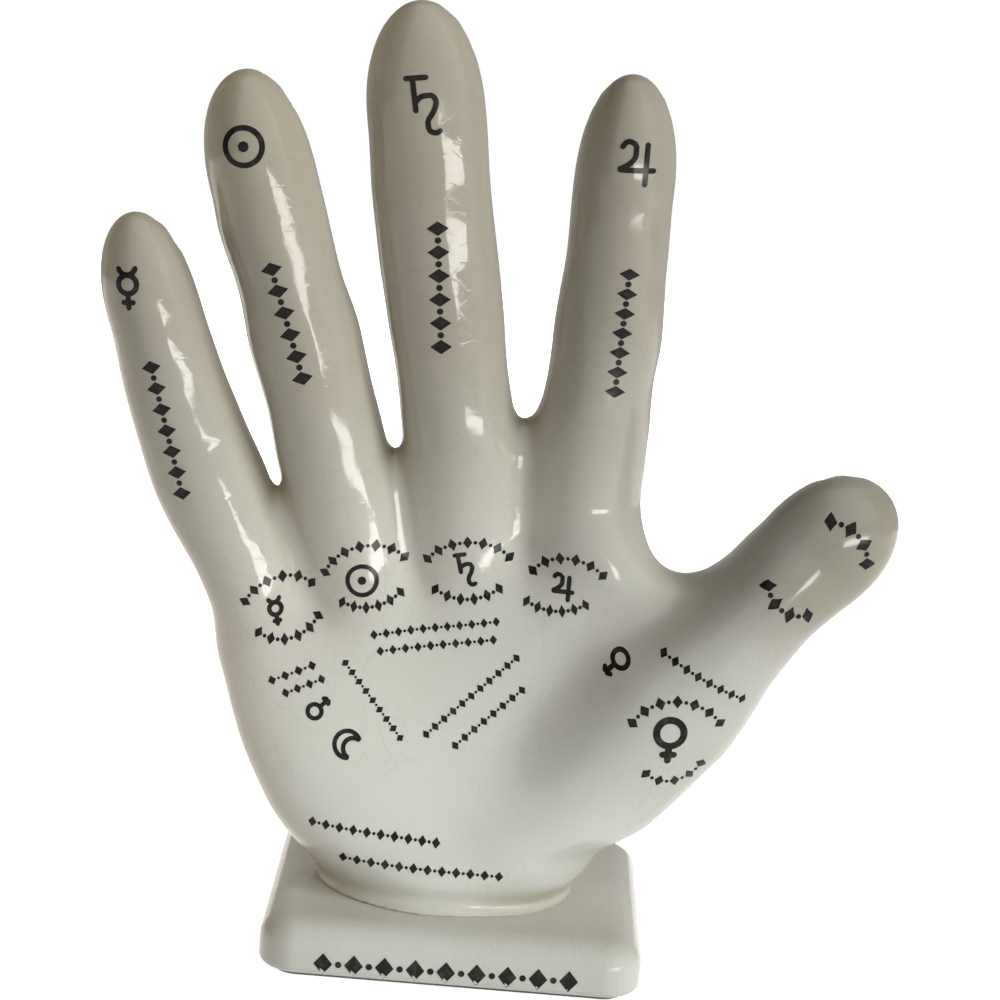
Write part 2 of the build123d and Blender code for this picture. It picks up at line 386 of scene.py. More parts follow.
# The ivory is paler low down and warmer towards the finger tips, in slow clouds. A Mix of colours has
# its share on socket 0, its two colours on sockets 6 and 7, and its result on output 2.
clouds = set_inputs(add("TexNoise"), Scale=16.0, Detail=4.0, Roughness=0.55)
place = add("SeparateXYZ")
rise = set_inputs(add("MapRange", interpolation_type="SMOOTHSTEP"),
                  From_Min=0.06, From_Max=0.20, To_Min=-0.30, To_Max=0.30)
warmth = add("Math", operation="ADD", use_clamp=True)
ivory = add("Mix", data_type="RGBA")
ivory.inputs[6].default_value = GLAZE_PALE
ivory.inputs[7].default_value = GLAZE_WARM
link(where.outputs["Object"], clouds.inputs["Vector"])
link(where.outputs["Object"], place.inputs[0])
link(place.outputs["Z"], rise.inputs["Value"])
link(rise.outputs["Result"], warmth.inputs[0])
link(clouds.outputs["Fac"], warmth.inputs[1])
link(warmth.outputs[0], ivory.inputs[0])
# Creases and hollows are darker, partly pooled glaze and partly painted shade, and the pad of the thumb is
# darkened with painted shade. The stained cracks lie over all of it.
pooling_and_painted_shade = add("Attribute", attribute_name="pooling_and_painted_shade")
shaded_and_pooled_ivory = add("Mix", data_type="RGBA")
shaded_and_pooled_ivory.inputs[7].default_value = GLAZE_POOLED_AND_SHADED
link(pooling_and_painted_shade.outputs["Fac"], shaded_and_pooled_ivory.inputs[0])
link(ivory.outputs[2], shaded_and_pooled_ivory.inputs[6])
crazed = add("Mix", data_type="RGBA")
crazed.inputs[7].default_value = CRACK_STAIN
link(stained.outputs[0], crazed.inputs[0])
link(shaded_and_pooled_ivory.outputs[2], crazed.inputs[6])
# Faint smears vary the gloss, and slow ripples and the cracks are a low relief.
smears = set_inputs(add("TexNoise"), Scale=55.0, Detail=3.0)
gloss = set_inputs(add("MapRange"), From_Min=0.3, From_Max=0.75, To_Min=0.04, To_Max=0.10)
link(where.outputs["Object"], smears.inputs["Vector"])
link(smears.outputs["Fac"], gloss.inputs["Value"])
ripple = set_inputs(add("TexNoise"), Scale=150.0, Detail=2.0)
ripple_bump = set_inputs(add("Bump"), Strength=0.30, Distance=0.0003)
crack_bump = set_inputs(add("Bump", invert=True), Strength=0.08, Distance=0.0001)
link(where.outputs["Object"], ripple.inputs["Vector"])
link(ripple.outputs["Fac"], ripple_bump.inputs["Height"])
link(cracks.outputs[0], crack_bump.inputs["Height"])
link(ripple_bump.outputs["Normal"], crack_bump.inputs["Normal"])
body = set_inputs(add("BsdfPrincipled"), IOR=1.5)
surface = add("OutputMaterial")
link(crazed.outputs[2], body.inputs["Base Color"])
link(gloss.outputs["Result"], body.inputs["Roughness"])
link(crack_bump.outputs["Normal"], body.inputs["Normal"])
link(body.outputs[0], surface.inputs["Surface"])

half = (PLINTH_HIGH - PLINTH_LOW) / 2
quarter = np.linspace(0.0, np.pi / 2, 9)
foot_inset = PLINTH_FOOT_ROUND * (1 - np.sin(quarter))
foot_level = PLINTH_LOW[2] + PLINTH_FOOT_ROUND * (1 - np.cos(quarter))
top_inset = PLINTH_TOP_INSET * (1 - np.cos(quarter))
top_level = PLINTH_HIGH[2] - PLINTH_TOP_DROP * (1 - np.sin(quarter))
ceiling = PLINTH_HIGH[2] - PLINTH_CEILING
side_level = np.linspace(foot_level[-1], top_level[0], 6)[1:-1]
inset = np.concatenate([[PLINTH_RIM, PLINTH_RIM], foot_inset, np.zeros_like(side_level), top_inset])
level = np.concatenate([[ceiling, PLINTH_LOW[2]], foot_level, side_level, top_level])
walls = np.stack(plan_rings(half[0], half[1], PLINTH_CORNER, inset, level))
bearing = np.arctan2(walls[-1, :, 1], walls[-1, :, 0])
drain = DRAIN_RADIUS * np.stack([np.cos(bearing), np.sin(bearing)], axis=-1)
share = np.linspace(0.0, 1.0, 9)[1:, None, None]
top = walls[-1] + (np.column_stack([drain, np.full(AROUND, PLINTH_HIGH[2])]) - walls[-1]) * share
inner = np.column_stack([drain, np.full(AROUND, ceiling)])[None]
rings = np.concatenate([inner, walls, top])
# The cast top and walls sag by a few hundredths of a millimetre in slow waves.
slack = PLINTH_SLACK * np.sin(rings[..., 0] * 0.11 + 1.3) * np.sin(rings[..., 1] * 0.13 + 0.4)
rings[..., 2] -= np.abs(slack) * (rings[..., 2] > PLINTH_LOW[2] + PLINTH_SLACK_FROM)
plinth = mesh_piece("plinth_block", rings.reshape(-1, 3), ring_faces(len(rings), AROUND, closed=True), glaze)
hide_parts("plinth_casting")
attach(plinth, "root")

# The hand is one hollow slip casting: a palm that rolls under at the wrist, four fingers that bow
# forward, and a thumb joined by a web. It is drawn as one surface, blended where the parts meet.
# A digit: root, lean from upright, forward bow, length of its rounded tip and how far that lies to the
# right, the stations along it with its width, depth and sideways shift at each, and its pads, as pairs
# of a place along it and how far its front stands out there.
HAND_SEAT = 14.5
HAND_OVERLAP = 1.2
DIGITS = {
    "little": dict(
        root=(-66.4, 0.0, 106.5), lean=-18.4, bow=5.0, tip=24.2, tip_side=1.0,
        at=(-38.0, 0.0, 13.0, 26.0, 40.0), width=(20.0, 26.1, 24.8, 23.1, 21.5),
        depth=(20.0, 23.0, 21.8, 20.2, 18.6), shift=(5.5, 1.3, 0.2, -0.4, -0.2),
        pads=((-17.0, 0.0), (-3.0, -0.6), (7.0, -0.6), (11.0, 0.0), (20.0, 0.5), (35.0, 1.4), (39.0, 1.2))),
    "ring": dict(
        root=(-37.5, 0.0, 117.5), lean=-17.3, bow=6.0, tip=25.9, tip_side=1.1,
        at=(-40.0, 0.0, 11.0, 25.0, 39.0, 54.0, 62.0), width=(20.0, 25.6, 25.0, 25.8, 23.8, 24.9, 24.5),
        depth=(21.0, 24.5, 24.0, 23.1, 22.2, 21.3, 20.9), shift=(0.0, 0.1, 0.25, 0.15, -0.1, -0.35, -0.1),
        pads=((-12.0, 0.0), (-3.0, -0.2), (10.0, 0.5), (31.0, 0.4), (52.0, 1.8), (62.0, 2.2))),
    "middle": dict(
        root=(-9.4, 0.0, 126.3), lean=-9.1, bow=6.0, tip=26.8, tip_side=0.6,
        at=(-42.0, 0.0, 9.0, 24.0, 38.0, 52.0, 68.0), width=(20.0, 26.0, 25.6, 26.8, 27.0, 27.0, 26.8),
        depth=(19.0, 25.0, 24.7, 23.9, 23.2, 22.5, 21.8), shift=(0.0, 0.8, 0.55, 0.15, -0.4, -0.65, -0.2),
        pads=((0.0, 0.0), (35.0, -1.15), (46.0, -0.8), (55.0, -1.15), (64.0, -1.0), (72.0, -1.2))),
    "index": dict(
        root=(23.4, 0.0, 129.3), lean=1.6, bow=5.5, tip=26.4, tip_side=-0.5,
        at=(-42.0, 0.0, 8.0, 19.0, 36.0, 52.0), width=(20.0, 24.6, 24.3, 25.0, 23.2, 22.9),
        depth=(21.0, 24.0, 23.6, 22.8, 21.5, 20.4), shift=(0.0, -0.45, 0.0, 0.5, 0.5, 0.1),
        pads=((4.0, 0.0), (34.0, 1.1), (46.0, 1.9))),
    "thumb": dict(
        root=(44.2, -9.5, 63.5), lean=40.0, bow=2.0, tip=20.1, tip_side=0.0,
        at=(-44.0, -14.0, 0.0, 12.0, 24.0, 36.0, 44.0, 52.0),
        width=(22.0, 36.0, 37.0, 33.0, 27.6, 25.4, 26.6, 27.9),
        depth=(26.0, 35.0, 37.0, 35.0, 32.0, 29.0, 27.0, 25.0),
        shift=(0.0, 0.5, 0.0, 0.15, -0.15, -0.55, -0.75, -0.8),
        pads=((0.0, 0.0), (52.0, 0.0))),
}
TIP_FULLNESS = 2.3
# The palm: at each level above the seat, its tilt, its edges to the left, right, front and back, how
# far its front is pressed in at the middle, and its fullness, where 2 is an ellipse and more is squarer.
PALM_LEVEL = (-2.5, 0.0, 5.5, 12.5, 19.5, 40.5, 65.5, 84.5, 107.5)
PALM_TILT = (0.0, 0.0, 0.0, 1.0, 2.0, 6.0, 12.0, 17.0, 20.5)
PALM_LEFT = (-30.5, -32.6, -37.8, -43.0, -47.0, -55.6, -61.2, -62.4, -52.0)
PALM_RIGHT = (24.8, 25.2, 29.5, 31.8, 40.4, 41.5, 40.0, 35.0, 32.0)
PALM_FRONT = (-25.0, -25.2, -26.0, -26.5, -26.2, -20.5, -15.0, -5.0, -3.5)
PALM_BACK = (20.5, 22.8, 25.5, 25.4, 24.0, 20.0, 16.5, 12.5, 8.5)
PALM_HOLLOW = (0.0, 0.0, 0.0, 1.2, 3.2, 5.6, 4.0, 0.6, 0.0)
PALM_FULLNESS = (1.95, 1.95, 2.1, 2.4, 2.7, 2.7, 2.7, 2.7, 2.7)
PALM_TOP_ROUND = 8.0
# The web is the lower part of a ring: its middle, the gap inside it, how far that spreads to the right,
# how far below the middle the ring is cut off, and how thick it is.
WEB_MIDDLE = (47.2, -4.0, 105.6)
WEB_GAP = 12.6
WEB_SPREAD = 0.86
WEB_CUT = 3.0
WEB_THICKNESS = 16.0
# How far the corner is filled where two parts of the hand meet.
LITTLE_TO_RING = 5.5
MIDDLE_TO_INDEX = 4.0
RING_TO_MIDDLE = 3.6
FINGERS_TO_PALM = 8.0
THUMB_TO_PALM = 12.0
WEB_TO_PALM = 8.0
FOOT_FILLET = 5.0
# The thin bed that the foot is filleted into: half its straight sides, its rim and its depth.
BED_HALF = (30.0, 25.0)
BED_RIM = 7.0
BED_SUNK = 1.1
CASTING_UNEVEN = 0.16
# Joints and nails on the back. The joints' places and the nail's width are shares of the digit's own
# length and width, and the nail's edge and fold are levels of its rounded outline, where 1 is its size.
JOINT_FIRST = 0.14
JOINT_STEP = 0.325
KNUCKLE_SWELL = 0.30
NAIL_BELOW_TIP = 10.5
NAIL_HALF_LENGTH = 6.8
NAIL_WIDTH_SHARE = 0.66
NAIL_EDGE = 1.6
NAIL_RISE = 0.45
NAIL_FOLD = 0.30
NAIL_FOLD_AT = 2.0
NAIL_FOLD_WIDTH = 0.7
# The clay is darkened, partly pooled glaze and partly painted shade, where a point this far out from it
# has less than this width of air about it: in creases and hollows.
POOL_AND_SHADE_LOOKOUT = 6.0
POOL_AND_SHADE_WIDTH = 5.0
# Painted shade also darkens the pad of the thumb, by this share, which grows with x + z and with x - z:
# each from the first value of its pair and over the second.
THUMB_PAINTED_SHADE = 0.75
THUMB_SHADE_UP = (144.0, 24.0)
THUMB_SHADE_ACROSS = (-40.0, 14.0)
GRID_MM = 1.0
COARSE_MM = 4.0
FIELD_REACH = 4.0


def through_stations(along, stations, values):
    """A smooth curve through values at stations: cubic pieces that never overshoot, flat past the ends."""
    stations, values = np.asarray(stations), np.asarray(values)
    rise = np.diff(values) / np.diff(stations)
    slope = np.zeros_like(values)
    same_way = rise[:-1] * rise[1:] > 0
    mean = 2 * rise[:-1] * rise[1:] / np.where(same_way, rise[:-1] + rise[1:], 1.0)
    slope[1:-1] = np.where(same_way, mean, 0.0)
    along = np.clip(along, stations[0], stations[-1])
    span = np.clip(np.searchsorted(stations, along, side="right") - 1, 0, len(rise) - 1)
    width = np.diff(stations)[span]
    share = (along - stations[span]) / width
    rest = 1 - share
    start = values[span] * (1 + 2 * share) * rest**2 + slope[span] * width * share * rest**2
    end = values[span + 1] * share**2 * (3 - 2 * share) - slope[span + 1] * width * share**2 * rest
    return start + end


def digit_distance(x, y, z, root, lean, bow, tip, tip_side, at, width, depth, shift, pads):
    """How far outside a digit a point is: across its axis the digit is an ellipse whose width, depth and
    sideways shift follow the stations, its end is half a full ellipsoid, and its axis bows forward as the
    square of the height. Its front stands out by its pads, a wave along it swells the joints behind, and
    a low nail with a groove round it is on the back. The distance is (reach - 1) over reach's slope."""
    angle = np.radians(lean)
    length = at[-1] + tip
    dx, dz = x - root[0], z - root[2]
    along = dx * np.sin(angle) + dz * np.cos(angle)
    over = np.maximum(along - at[-1], 0) / tip
    under = np.maximum(at[0] - along, 0) / (width[0] / 2)
    side = dx * np.cos(angle) - dz * np.sin(angle) - through_stations(along, at, shift) - tip_side * over**2
    out = y - root[1] + bow * (np.maximum(along, 0) / length)**2
    half_width = through_stations(along, at, width) / 2
    past_joint = np.maximum(along / length - JOINT_FIRST, -JOINT_STEP / 2)
    joints = -KNUCKLE_SWELL * np.cos(2 * np.pi * past_joint / JOINT_STEP)
    swell = np.where(out < 0, through_stations(along, *zip(*pads)), joints)
    half_depth = through_stations(along, at, depth) / 2 + swell
    reach = np.sqrt((side / half_width)**2 + (out / half_depth)**2 + over**TIP_FULLNESS + under**2) + 1e-9
    steep = np.sqrt((side / half_width**2)**2 + (out / half_depth**2)**2
                    + (TIP_FULLNESS / 2 * over**(TIP_FULLNESS - 1) / tip)**2
                    + (under * 2 / width[0])**2) / reach + 1e-6
    along_nail = (along - length + NAIL_BELOW_TIP) / NAIL_HALF_LENGTH
    nail = along_nail**4 + (side / (NAIL_WIDTH_SHARE * half_width))**4
    plate = np.clip(NAIL_EDGE - nail, 0, 1)
    fold = np.exp(-((nail - NAIL_FOLD_AT) / NAIL_FOLD_WIDTH)**2)
    relief = np.where(out > 0, NAIL_RISE * plate**2 * (3 - 2 * plate) - NAIL_FOLD * fold, 0.0)
    return (reach - 1) / steep - relief


def palm_distance(x, y, z):
    """How far outside the palm a point is: each tilted level is a full oval between its four edges, with
    the front pressed in at the middle, and the top is rounded over in the same way."""
    level = z - HAND_SEAT
    for _ in range(4):
        tilt = np.radians(np.interp(level, PALM_LEVEL, PALM_TILT))
        level = z - HAND_SEAT - x * np.tan(tilt)
    left, right, front, back, hollow, n = (
        through_stations(level, PALM_LEVEL, edge)
        for edge in (PALM_LEFT, PALM_RIGHT, PALM_FRONT, PALM_BACK, PALM_HOLLOW, PALM_FULLNESS)
    )
    half_width, half_depth = (right - left) / 2, (back - front) / 2
    a = (x / np.cos(tilt) - (left + right) / 2) / half_width
    forward = np.clip((front + back - 2 * y) / (2 * half_depth), 0, 1)
    dent = hollow * np.clip(1 - a**2, 0, 1)**2 * forward
    b = (y - (front + back) / 2 - dent) / half_depth
    over = np.maximum(level - PALM_LEVEL[-1] + PALM_TOP_ROUND, 0) / PALM_TOP_ROUND
    a, b = np.abs(a), np.abs(b)
    reach = (a**n + b**n + over**n)**(1 / n) + 1e-9
    steep = np.sqrt((a**(n - 1) / half_width)**2 + (b**(n - 1) / half_depth)**2
                    + (over**(n - 1) / PALM_TOP_ROUND)**2) * reach**(1 - n) + 1e-6
    return (reach - 1) / steep


def blend(first, second, radius):
    """The smaller of two distances, with the corner between them filled to about the radius."""
    share = np.maximum(radius - np.abs(first - second), 0) / radius
    return np.minimum(first, second) - share**2 * radius / 4


def hand_distance(x, y, z):
    """How far outside the hand a point is: the digits, the palm, the thumb's web and a thin bed on the
    plinth, blended so that the wrist flares into a fillet, cut off just below the seat, with a few
    tenths of a millimetre of the casting's unevenness."""
    distance = {name: digit_distance(x, y, z, **digit) for name, digit in DIGITS.items()}
    fingers = blend(blend(distance["little"], distance["ring"], LITTLE_TO_RING),
                    blend(distance["middle"], distance["index"], MIDDLE_TO_INDEX), RING_TO_MIDDLE)
    body = blend(blend(fingers, palm_distance(x, y, z), FINGERS_TO_PALM), distance["thumb"], THUMB_TO_PALM)
    dx, dz = x - WEB_MIDDLE[0], z - WEB_MIDDLE[2]
    dx = np.where(dx > 0, dx * WEB_SPREAD, dx)
    ring = np.hypot(np.hypot(dx, dz) - WEB_GAP - WEB_THICKNESS / 2, y - WEB_MIDDLE[1]) - WEB_THICKNESS / 2
    body = blend(body, -blend(-ring, -(dz + WEB_CUT), WEB_TO_PALM), WEB_TO_PALM)
    past_x, past_y = np.maximum(np.abs(x) - BED_HALF[0], 0), np.maximum(np.abs(y) - BED_HALF[1], 0)
    bed = np.maximum(z - HAND_SEAT + BED_SUNK, np.hypot(past_x, past_y) - BED_RIM)
    body = blend(body, bed, FOOT_FILLET)
    waves = np.sin(x * 0.19 + z * 0.07) * np.sin(z * 0.16 - x * 0.05) * np.sin(y * 0.2 + 0.6)
    return np.maximum(body + CASTING_UNEVEN * waves, HAND_SEAT - HAND_OVERLAP - z)


# The distance is worked out on a coarse grid first, and again on the fine grid near the surface. The
# quads where it is nought are then pushed exactly onto it, and the flat foot is left as it is.
grid_low = np.array([-100.0, -36.0, 10.0])
grid_size = np.array([204.0, 72.0, 216.0])
coarse = [start + np.arange(0.0, size, COARSE_MM) + COARSE_MM / 2 for start, size in zip(grid_low, grid_size)]
field = hand_distance(*np.meshgrid(*coarse, indexing="ij"))
for axis in range(3):
    field = np.repeat(field, int(COARSE_MM / GRID_MM), axis=axis)
near = np.nonzero(np.abs(field) < 3 * COARSE_MM)
field[near] = hand_distance(*(np.stack(near, axis=1) * GRID_MM + grid_low).T)
field = np.clip(field, -FIELD_REACH, FIELD_REACH)
grid = openvdb.FloatGrid(FIELD_REACH)
grid.copyFromArray(field)
hand_points, hand_faces = grid.convertToQuads(isovalue=0.0)
hand_points = hand_points * GRID_MM + grid_low


def outward(points, step=0.25):
    """The unit direction in which the hand's distance grows at each point, from differences over a step."""
    rise = [
        hand_distance(*(points + shift).T) - hand_distance(*(points - shift).T)
        for shift in np.eye(3) * step
    ]
    way = np.stack(rise, axis=-1)
    return way / np.maximum(np.linalg.norm(way, axis=-1, keepdims=True), 1e-9)


on_foot = hand_points[:, 2] < HAND_SEAT - HAND_OVERLAP + 0.05
for _ in range(2):
    push = hand_distance(*hand_points.T)[:, None] * outward(hand_points)
    hand_points = hand_points - np.where(on_foot[:, None], 0.0, np.clip(push, -0.5, 0.5))
first, second, third = (hand_points[hand_faces[:, corner]] for corner in (0, 1, 2))
if np.einsum("ij,ij->", np.cross(second - first, third - first), outward(first)) < 0:
    hand_faces = hand_faces[:, ::-1]
hand = mesh_piece("hand_shell", hand_points, hand_faces, glaze)
# The share of the darker colour at each point: painted shade, partly pooled glaze, from the air about it.
clear_air = hand_distance(*(hand_points + POOL_AND_SHADE_LOOKOUT * outward(hand_points)).T)
pooled_and_shaded_share = np.clip((POOL_AND_SHADE_WIDTH - clear_air) / POOL_AND_SHADE_WIDTH, 0.0, 1.0)
point_x, point_z = hand_points[:, 0], hand_points[:, 2]
# Painted shade on the pad of the thumb.
up_thumb = np.clip((point_x + point_z - THUMB_SHADE_UP[0]) / THUMB_SHADE_UP[1], 0.0, 1.0)
across_thumb = np.clip((point_x - point_z - THUMB_SHADE_ACROSS[0]) / THUMB_SHADE_ACROSS[1], 0.0, 1.0)
pooled_and_shaded_share = np.maximum(pooled_and_shaded_share, THUMB_PAINTED_SHADE * up_thumb * across_thumb)
hand.data.attributes.new("pooling_and_painted_shade", "FLOAT", "POINT").data.foreach_set("value", pooled_and_shaded_share)
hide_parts("hand_casting")
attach(hand, "root")

# The slip joint is the bed of thick slip that lutes the wrist to the plinth. It is fired with them,
# and shows no glaze, because the fillet of the hand's own glaze covers it.
SLIP_THICKNESS = 1.0
SLIP_WIDTH = 4.0
SLIP_SETBACK = 0.6
SLIP_AROUND = 160
SLIP_SECTION = 12
SLIP_BUFF = (0.560, 0.505, 0.415, 1.0)
SLIP_SPECK = (0.430, 0.375, 0.290, 1.0)

fired_slip = bpy.data.materials.new("fired_slip_bed")
add, link = empty_nodes(fired_slip)
where = add("TexCoord")
grog = set_inputs(add("TexNoise"), Scale=900.0, Detail=4.0)
specks = add("ValToRGB")
specks.color_ramp.elements[0].position = 0.34
specks.color_ramp.elements[0].color = SLIP_SPECK
specks.color_ramp.elements[1].position = 0.52
specks.color_ramp.elements[1].color = SLIP_BUFF
tooth = set_inputs(add("Bump"), Strength=0.4, Distance=0.0002)
clay = set_inputs(add("BsdfPrincipled"), Roughness=0.85)
surface = add("OutputMaterial")
link(where.outputs["Object"], grog.inputs["Vector"])
link(grog.outputs["Fac"], specks.inputs["Fac"])
link(grog.outputs["Fac"], tooth.inputs["Height"])
link(specks.outputs["Color"], clay.inputs["Base Color"])
link(tooth.outputs["Normal"], clay.inputs["Normal"])
link(clay.outputs[0], surface.inputs["Surface"])
turn = np.linspace(0.0, 2 * np.pi, SLIP_AROUND, endpoint=False)
left, right, front, back = (edge[1] for edge in (PALM_LEFT, PALM_RIGHT, PALM_FRONT, PALM_BACK))
middle = np.array([(left + right) / 2, (front + back) / 2])
half = np.array([(right - left) / 2, (back - front) / 2])
corner = np.stack([np.cos(turn), np.sin(turn)], axis=-1)
oval = np.sign(corner) * np.abs(corner)**(2 / PALM_FULLNESS[1])
section = np.linspace(0.0, 2 * np.pi, SLIP_SECTION, endpoint=False)[:, None, None]
inset = SLIP_SETBACK + SLIP_WIDTH / 2 * (1 + np.cos(section))
level = PLINTH_HIGH[2] + SLIP_THICKNESS / 2 * (1 - np.sin(section))
level = np.broadcast_to(level, (SLIP_SECTION, SLIP_AROUND, 1))
bed = np.concatenate([middle + oval * (half - inset), level], axis=-1)
slip_faces = ring_faces(SLIP_SECTION, SLIP_AROUND, closed=True)
slip = mesh_piece("slip_bed", bed.reshape(-1, 3), slip_faces, fired_slip)
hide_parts("slip_joint")
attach(slip, "root")

# The signs on the finger tips are black ceramic transfers, the old signs of the planets, fired on under
# a last thin coat of glaze. Each stroke is a flat film that follows the clay, a little worn in places.
INK_BLACK = (0.010, 0.009, 0.008, 1.0)
INK_WORN = (0.060, 0.055, 0.048, 1.0)
INK_PROUD = 0.06
INK_SUNK = 0.25
INK_CREASE = 40.0
FILM_STEP = 0.5
LINE_POINTS = 41
FINGER_STROKE = 1.25
# A sign: what it is, the x and z of its middle, its height and its lean, in degrees.
FINGER_SIGNS = (
    ("horned_ring_and_cross", (-84.4, 151.7), 10.6, 6.0),
    ("ring_and_dot", (-59.9, 185.6), 9.0, 0.0),
    ("sickle_and_bar", (-20.9, 197.8), 12.8, 5.0),
    ("curl_and_cross", (27.0, 188.9), 10.5, 0.0),
)


def arc(middle, radius, start=0.0, end=360.0):
    """Points round a circle from one bearing to another, in degrees counted from the right."""
    bearing = np.radians(np.linspace(start, end, LINE_POINTS))
    return np.array(middle) + radius * np.stack([np.cos(bearing), np.sin(bearing)], axis=-1)


def curve(*points):
    """A smooth line through a few points, each coordinate a cubic curve of the length of the chords."""
    points = np.array(points, float)
    chord = np.concatenate([[0.0], np.cumsum(np.linalg.norm(np.diff(points, axis=0), axis=1))])
    along = np.linspace(0.0, chord[-1], LINE_POINTS)
    return np.stack([through_stations(along, chord, points[:, axis]) for axis in (0, 1)], axis=-1)


# Each sign's strokes, drawn one unit high about its own middle.
SIGN_STROKES = {
    "horned_ring_and_cross": (
        arc((0.0, 0.06), 0.20),
        curve((0.0, -0.14), (0.0, -0.50)),
        curve((-0.16, -0.33), (0.16, -0.33)),
        arc((0.0, 0.45), 0.19, 180.0, 360.0),
    ),
    "ring_and_dot": (arc((0.0, 0.0), 0.46), arc((0.0, 0.0), 0.07)),
    "sickle_and_bar": (
        curve((-0.20, 0.47), (-0.14, -0.15)),
        curve((-0.36, 0.44), (0.08, 0.47)),
        curve((-0.16, 0.02), (-0.04, 0.14), (0.12, 0.16), (0.21, 0.04), (0.15, -0.14), (0.06, -0.30),
              (0.09, -0.45), (0.21, -0.49), (0.30, -0.42)),
    ),
    "curl_and_cross": (
        curve((-0.36, 0.28), (-0.22, 0.45), (-0.04, 0.36), (-0.04, 0.16), (-0.18, -0.04), (-0.40, -0.16)),
        curve((-0.40, -0.16), (0.42, -0.14)),
        curve((0.20, 0.45), (0.20, -0.50)),
    ),
    "ring_and_arrow": (
        arc((-0.10, -0.12), 0.28),
        curve((0.10, 0.08), (0.42, 0.42)),
        curve((0.14, 0.42), (0.42, 0.42)),
        curve((0.42, 0.42), (0.42, 0.14)),
    ),
    "crescent": (arc((0.0, 0.0), 0.46, 48.0, 312.0), arc((0.24, 0.0), 0.35, 78.0, 282.0)),
    "ring_and_cross": (
        arc((0.0, 0.20), 0.29),
        curve((0.0, -0.09), (0.0, -0.50)),
        curve((-0.19, -0.29), (0.19, -0.29)),
    ),
}


# A sheet of points, one each millimetre, walks in from before the hand until it lies on the glaze, by
# most of the distance that is left at each step.
SHEET_START = -34.0
SHEET_STRIDE = 0.85
SHEET_STEPS = 28
sheet_low = np.array([-100.0, 10.0])
sheet_x, sheet_z = np.meshgrid(np.arange(-100.0, 104.0), np.arange(10.0, 226.0), indexing="ij")
sheet_y = np.full_like(sheet_x, SHEET_START)
for _ in range(SHEET_STEPS):
    sheet_y = sheet_y + SHEET_STRIDE * hand_distance(sheet_x, sheet_y, sheet_z)


def hand_front(x, z):
    """The y of the hand's front at each x and z, from the four nearest points of the sheet."""
    across, up = x - sheet_low[0], z - sheet_low[1]
    column, row = across.astype(int), up.astype(int)
    across, up = across - column, up - row
    low_row = sheet_y[column, row] * (1 - across) + sheet_y[column + 1, row] * across
    high_row = sheet_y[column, row + 1] * (1 - across) + sheet_y[column + 1, row + 1] * across
    return low_row * (1 - up) + high_row * up


def ink_film(path, half_width, front):
    """One printed mark as a closed flat tube: the path in x and z is widened to both sides by half_width,
    and a ring of seven points at each step lies a hair in front of the surface and ends just inside it. A
    path that comes back to its start is closed on itself, and any other has a cap at each end."""
    closed = np.allclose(path[0], path[-1])
    if closed:
        path, half_width = path[:-1], half_width[:-1]
        ahead = np.roll(path, -1, axis=0) - np.roll(path, 1, axis=0)
    else:
        ahead = np.gradient(path, axis=0)
    ahead = ahead / np.linalg.norm(ahead, axis=1, keepdims=True)
    across = np.stack([-ahead[:, 1], ahead[:, 0]], axis=-1)
    sideways = half_width[:, None] * np.linspace(1.0, -1.0, 5)
    flat = path[:, None, :] + across[:, None, :] * sideways[..., None]
    film = np.stack([flat[..., 0], front(flat[..., 0], flat[..., 1]), flat[..., 1]], axis=-1)
    inside = film[:, (0, 4)] + np.array([0.0, INK_SUNK, 0.0])
    film = film - np.array([0.0, INK_PROUD, 0.0])
    points = np.concatenate([inside[:, :1], film, inside[:, 1:]], axis=1).reshape(-1, 3)
    faces = ring_faces(len(path), 7, closed=closed).tolist()
    if not closed:
        last = len(points) - 7
        faces += [range(6, -1, -1), range(last, last + 7)]
    return points, faces


def stroke_film(stroke, width, front):
    """A pen stroke: even width along its path, with round ends unless it closes on itself."""
    run = np.concatenate([[0.0], np.cumsum(np.linalg.norm(np.diff(stroke, axis=0), axis=1))])
    steps = int(np.clip(run[-1] / FILM_STEP, 8, 40))
    closed = np.allclose(stroke[0], stroke[-1])
    share = np.linspace(0.0, 1.0, steps + 1)
    along = run[-1] * (share if closed else (1 - np.cos(np.pi * share)) / 2)
    path = np.stack([np.interp(along, run, stroke[:, axis]) for axis in (0, 1)], axis=-1)
    from_end = np.minimum(along, run[-1] - along) if not closed else np.full_like(along, width)
    short = np.clip(1 - from_end / (width / 2), 0, 0.98)
    return ink_film(path, width / 2 * np.sqrt(1 - short**2), front)


def sign_films(sign, middle, height, lean, stroke):
    """The strokes of one sign, turned by its lean, scaled to its height and laid on the hand."""
    angle = np.radians(lean)
    turn = np.array([(np.cos(angle), np.sin(angle)), (-np.sin(angle), np.cos(angle))])
    return [
        stroke_film(np.array(middle) + height * line @ turn, stroke, hand_front)
        for line in SIGN_STROKES[sign]
    ]


